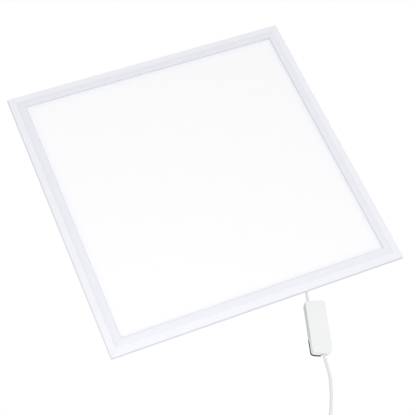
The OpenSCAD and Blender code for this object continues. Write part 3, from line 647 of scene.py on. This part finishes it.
def on_plane(edge, direction, place):
    """Whether both ends of an edge lie on a plane across a direction."""
    return all(abs(vert.co.dot(direction) - place) < 0.03 * MM for vert in edge.verts)


def outline_edge(points):
    """A test for edges on the outside of the driver's outline, seen from its front."""
    def test(edge):
        for face in edge.link_faces:
            normal = face.normal
            if abs(normal.dot(driver_y)) > 0.5:
                continue
            outermost = extent(points, normal)[1]
            if all(vert.co.dot(normal) > outermost - 0.05 * MM for vert in edge.verts):
                return True
        return False
    return test


def make_driver_box():
    """Front and rear trays. The front one has a rounded outer edge; the other edges are only just eased."""
    outer = outline_edge(box_points)
    cover_points = node_points("driver_cover")
    base_points = node_points("driver_base")
    cover_rear = extent(cover_points, driver_y)[1]
    base_front = extent(base_points, driver_y)[0]
    softened(
        "driver_cover",
        "driver_front_tray",
        "driver",
        [
            (lambda edge: on_plane(edge, driver_y, box_front) and outer(edge), 0.8 * MM, 4),
            (lambda edge: on_plane(edge, driver_y, cover_rear) and outer(edge), 0.2 * MM, 2),
        ],
    )
    softened(
        "driver_base",
        "driver_rear_tray",
        "driver",
        [
            (lambda edge: on_plane(edge, driver_y, box_rear) and outer(edge), 0.8 * MM, 4),
            (lambda edge: on_plane(edge, driver_y, base_front) and outer(edge), 0.2 * MM, 2),
        ],
    )


def make_flap():
    """The hinged flap, its dark pad with a rounded rear edge, and its pin. The dark pad is painted shadow: it
    stands where the driver's lower end throws a shadow.
    """
    pad_points = node_points("flap_pad")
    pad_rear = extent(pad_points, driver_y)[1]
    pad_outer = outline_edge(pad_points)
    softened(
        "terminal_flap",
        "flap_plate",
        "flap",
        [(lambda edge: edge.calc_length() > 3 * MM, 0.25 * MM, 2)],
    )
    # Painted shadow: this dark pad marks the shadow along the driver's lower end.
    softened(
        "flap_pad",
        "flap_shadow_pad",
        "flap",
        [(lambda edge: on_plane(edge, driver_y, pad_rear) and pad_outer(edge), 0.7 * MM, 3)],
    )
    softened("flap_pin", "flap_hinge_pin", "driver", [(lambda edge: True, 0.3 * MM, 3)])


# ---- Lead and cord -----------------------------------------------------------------------------

def cross_radius(node, centre, direction):
    """Largest distance of a CAD node's points from a line."""
    return max((p - centre - direction * (p - centre).dot(direction)).length for p in node_points(node))


def ring_centres(node, origin, direction, gap):
    """Centres of the rings of points that a swept CAD solid has along a direction."""
    side = direction.orthogonal().normalized()
    other = direction.cross(side)
    places = sorted((p - origin).dot(direction) for p in node_points(node))
    cuts = [low for low, high in zip(places, places[1:]) if high - low > gap] + [places[-1]]
    centres = []
    start = places[0] - gap
    for cut in cuts:
        ring = [p - origin for p in node_points(node) if start < (p - origin).dot(direction) <= cut]
        middle = [sum(extent(ring, axis)) / 2 for axis in (direction, side, other)]
        centres.append(origin + direction * middle[0] + side * middle[1] + other * middle[2])
        start = cut
    return centres


def make_lead():
    """The output lead in two stretches: one bends at the gland, the other at the driver's boot."""
    top = joint_at("lead_swing")
    foot = joint_at("lead_bend")
    down = (foot - top).normalized()
    length = (foot - top).length
    radius = cross_radius("output_lead", top, down)
    root_low = min(p.z for p in node_points("lead_root"))
    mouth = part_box("lead_gland")[0].z
    middle = top + down * length / 2
    above = Vector((top.x, top.y, root_low))
    bend = 0.42 * length
    upper_path = smooth_path([above, Vector((top.x, top.y, mouth)), top + down * bend, middle], 0.8 * MM)
    upper = tube("lead_upper", upper_path, radius, "white_cable")
    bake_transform(upper)
    cup = boot_top() - 0.5 * MM
    end = foot + down * (foot.dot(driver_z) - cup)
    lower = tube("lead_lower", smooth_path([middle, foot, end], 0.8 * MM), radius, "white_cable")
    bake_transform(lower)
    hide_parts("output_lead")


def boot_top():
    """Height of the top of the boot along the driver."""
    return extent(node_points("lead_boot"), driver_z)[1]


def make_boot():
    """A short grooved strain-relief boot, with a cup that the lead sits in."""
    foot = joint_at("lead_bend")
    x, y, _ = driver_place(foot)
    top = boot_top()
    low = extent(node_points("lead_boot"), driver_z)[0]
    seat = box_high + 0.05 * MM
    tall = top - seat
    radius = cross_radius("lead_boot", foot, driver_z)
    lead_radius = cross_radius("output_lead", foot, (joint_at("lead_swing") - foot).normalized())
    sleeve = radius - 0.2 * MM
    groove = 0.35 * MM
    profile = [(sleeve, low), (sleeve, seat), (radius - 0.2 * MM, seat), (radius, seat + 0.25 * MM)]
    for share in (0.3, 0.62):
        middle = seat + tall * share
        edge = radius - 0.3 * MM * share
        profile += [(edge, middle - 0.4 * MM), (edge - groove, middle - 0.2 * MM)]
        profile += [(edge - groove, middle + 0.2 * MM), (edge, middle + 0.4 * MM)]
    rim = radius - 0.3 * MM
    profile += [(rim, top - 0.3 * MM), (rim - 0.25 * MM, top), (lead_radius + 0.12 * MM, top)]
    bore = 1.65 * MM
    profile += [(lead_radius - 0.15 * MM, top - 1.1 * MM), (bore, top - 1.2 * MM), (bore, low)]
    piece = lathe("lead_strain_relief", profile, in_driver(x, y, 0), driver_z, "grey_rubber")
    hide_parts("lead_boot")
    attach(piece, "driver")


def make_cord():
    """The mains cord in one length, from the clamp inside the driver to its wired end."""
    pivot = joint_at("cord_swing")
    x, y, _ = driver_place(pivot)
    root_points = node_points("cord_root")
    radius = cross_radius("cord_root", pivot, driver_z)
    inner = in_driver(x, y, extent(root_points, driver_z)[1])
    exit_point = in_driver(x, y, box_low + 1.5 * MM)
    free_end = sum(node_points("cord_cores"), Vector()) / len(node_points("cord_cores"))
    chord = (free_end - pivot).normalized()
    clear_of_joint = 10 * MM
    centres = [
        centre
        for centre in ring_centres("mains_cord", pivot, chord, 1.1 * MM)
        if (centre - pivot).dot(chord) > clear_of_joint
    ]
    away = (centres[0] - pivot).normalized()
    points = [inner, exit_point, pivot + away * 12 * MM] + centres
    cable = tube("mains_cable", smooth_path(points, 1.2 * MM), radius, "white_cable")
    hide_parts("mains_cord", "cord_root")
    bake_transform(cable)


def make_gland():
    """The gland on the back plate, with barely eased edges."""
    softened(
        "lead_gland",
        "back_gland",
        "panel",
        [(lambda edge: edge.calc_length() > 5 * MM, 0.5 * MM, 3)],
    )


# ---- Stage, light and camera -------------------------------------------------------------------

CAMERA_AT = Vector((-0.624, -1.988, -1.075))
CAMERA_YAW = 17.10
CAMERA_PITCH = 25.91
CAMERA_ROLL = -25.38
CAMERA_LENS = 103.5
FLOOR_SIZE = 80.0
FLOOR_DROP = 0.35
FLOOR_SHADES = 0.93, 0.96
WORLD_LEVEL = 0.775
WORLD_LEAN = (0.2, -0.14, 0.02)
BACKDROP_LEVEL = 1.0


def make_camera():
    """A camera below the panel's lower left corner, looking up at its lit face."""
    lens = bpy.data.cameras.new("camera")
    lens.lens = CAMERA_LENS
    lens.sensor_width = 36
    camera = bpy.data.objects.new("camera", lens)
    bpy.context.scene.collection.objects.link(camera)
    yaw, pitch, roll = (math.radians(angle) for angle in (CAMERA_YAW, CAMERA_PITCH, CAMERA_ROLL))
    turn = (
        Matrix.Rotation(-yaw, 4, "Z")
        @ Matrix.Rotation(math.pi / 2 + pitch, 4, "X")
        @ Matrix.Rotation(roll, 4, "Z")
    )
    camera.matrix_world = Matrix.Translation(CAMERA_AT) @ turn
    bpy.context.scene.camera = camera


def make_floor():
    """A pale floor well below the hanging panel."""
    mesh = bpy.data.meshes.new("floor")
    height = CAMERA_AT.z - FLOOR_DROP
    ways = ((-1, -1), (1, -1), (1, 1), (-1, 1))
    corners = [(x * FLOOR_SIZE, y * FLOOR_SIZE, height) for x, y in ways]
    mesh.from_pydata(corners, [], [(0, 1, 2, 3)])
    material = bpy.data.materials.new("floor_paint")
    material.use_nodes = True
    tree = material.node_tree
    mottle = tree.nodes.new("ShaderNodeTexNoise")
    mottle.inputs["Scale"].default_value = 3.0
    shade = tree.nodes.new("ShaderNodeMapRange")
    shade.inputs["To Min"].default_value = FLOOR_SHADES[0]
    shade.inputs["To Max"].default_value = FLOOR_SHADES[1]
    tree.links.new(mottle.outputs["Fac"], shade.inputs["Value"])
    shader = tree.nodes["Principled BSDF"]
    tree.links.new(shade.outputs["Result"], shader.inputs["Base Color"])
    shader.inputs["Roughness"].default_value = 0.85
    mesh.materials.append(material)
    floor = bpy.data.objects.new("floor", mesh)
    bpy.context.scene.collection.objects.link(floor)


def make_world():
    """White surroundings that light the object a little more from its front and right."""
    world = bpy.data.worlds.new("surroundings")
    world.use_nodes = True
    bpy.context.scene.world = world
    tree = world.node_tree
    background = tree.nodes["Background"]
    place = tree.nodes.new("ShaderNodeTexCoord")
    lean = tree.nodes.new("ShaderNodeVectorMath")
    lean.operation = "DOT_PRODUCT"
    lean.inputs[1].default_value = WORLD_LEAN
    tree.links.new(place.outputs["Generated"], lean.inputs[0])
    level = tree.nodes.new("ShaderNodeMath")
    level.operation = "ADD"
    level.inputs[1].default_value = WORLD_LEVEL
    tree.links.new(lean.outputs["Value"], level.inputs[0])
    seen = tree.nodes.new("ShaderNodeLightPath")
    choice = tree.nodes.new("ShaderNodeMix")
    choice.inputs[3].default_value = BACKDROP_LEVEL
    tree.links.new(seen.outputs["Is Camera Ray"], choice.inputs[0])
    tree.links.new(level.outputs["Value"], choice.inputs[2])
    tree.links.new(choice.outputs[0], background.inputs["Strength"])
    background.inputs["Color"].default_value = (1.0, 1.0, 1.0, 1.0)


def make_light(name, place, aim, size, energy):
    """A broad soft light that the camera doesn't see."""
    light = bpy.data.lights.new(name, "AREA")
    light.energy = energy
    light.size = size
    lamp = bpy.data.objects.new(name, light)
    bpy.context.scene.collection.objects.link(lamp)
    turn = (Vector(aim) - Vector(place)).to_track_quat("-Z", "Y").to_matrix().to_4x4()
    lamp.matrix_world = Matrix.Translation(place) @ turn
    lamp.visible_camera = False


def make_lights():
    """One light in front of the lower left corner, and one that rakes across the back."""
    make_light("key_light", (-0.5, -1.1, -0.95), (-0.1, 0.0, -0.2), 1.2, 4.7)
    make_light("back_light", (1.3, 0.9, 0.9), (0.0, 0.0, -0.05), 0.5, 9.0)


make_materials()
dress_cad_nodes()
make_rails()
make_driver_box()
make_flap()
make_lead()
make_boot()
make_cord()
make_gland()
make_floor()
make_world()
make_lights()
make_camera()
bpy.context.scene.view_settings.view_transform = "Standard"
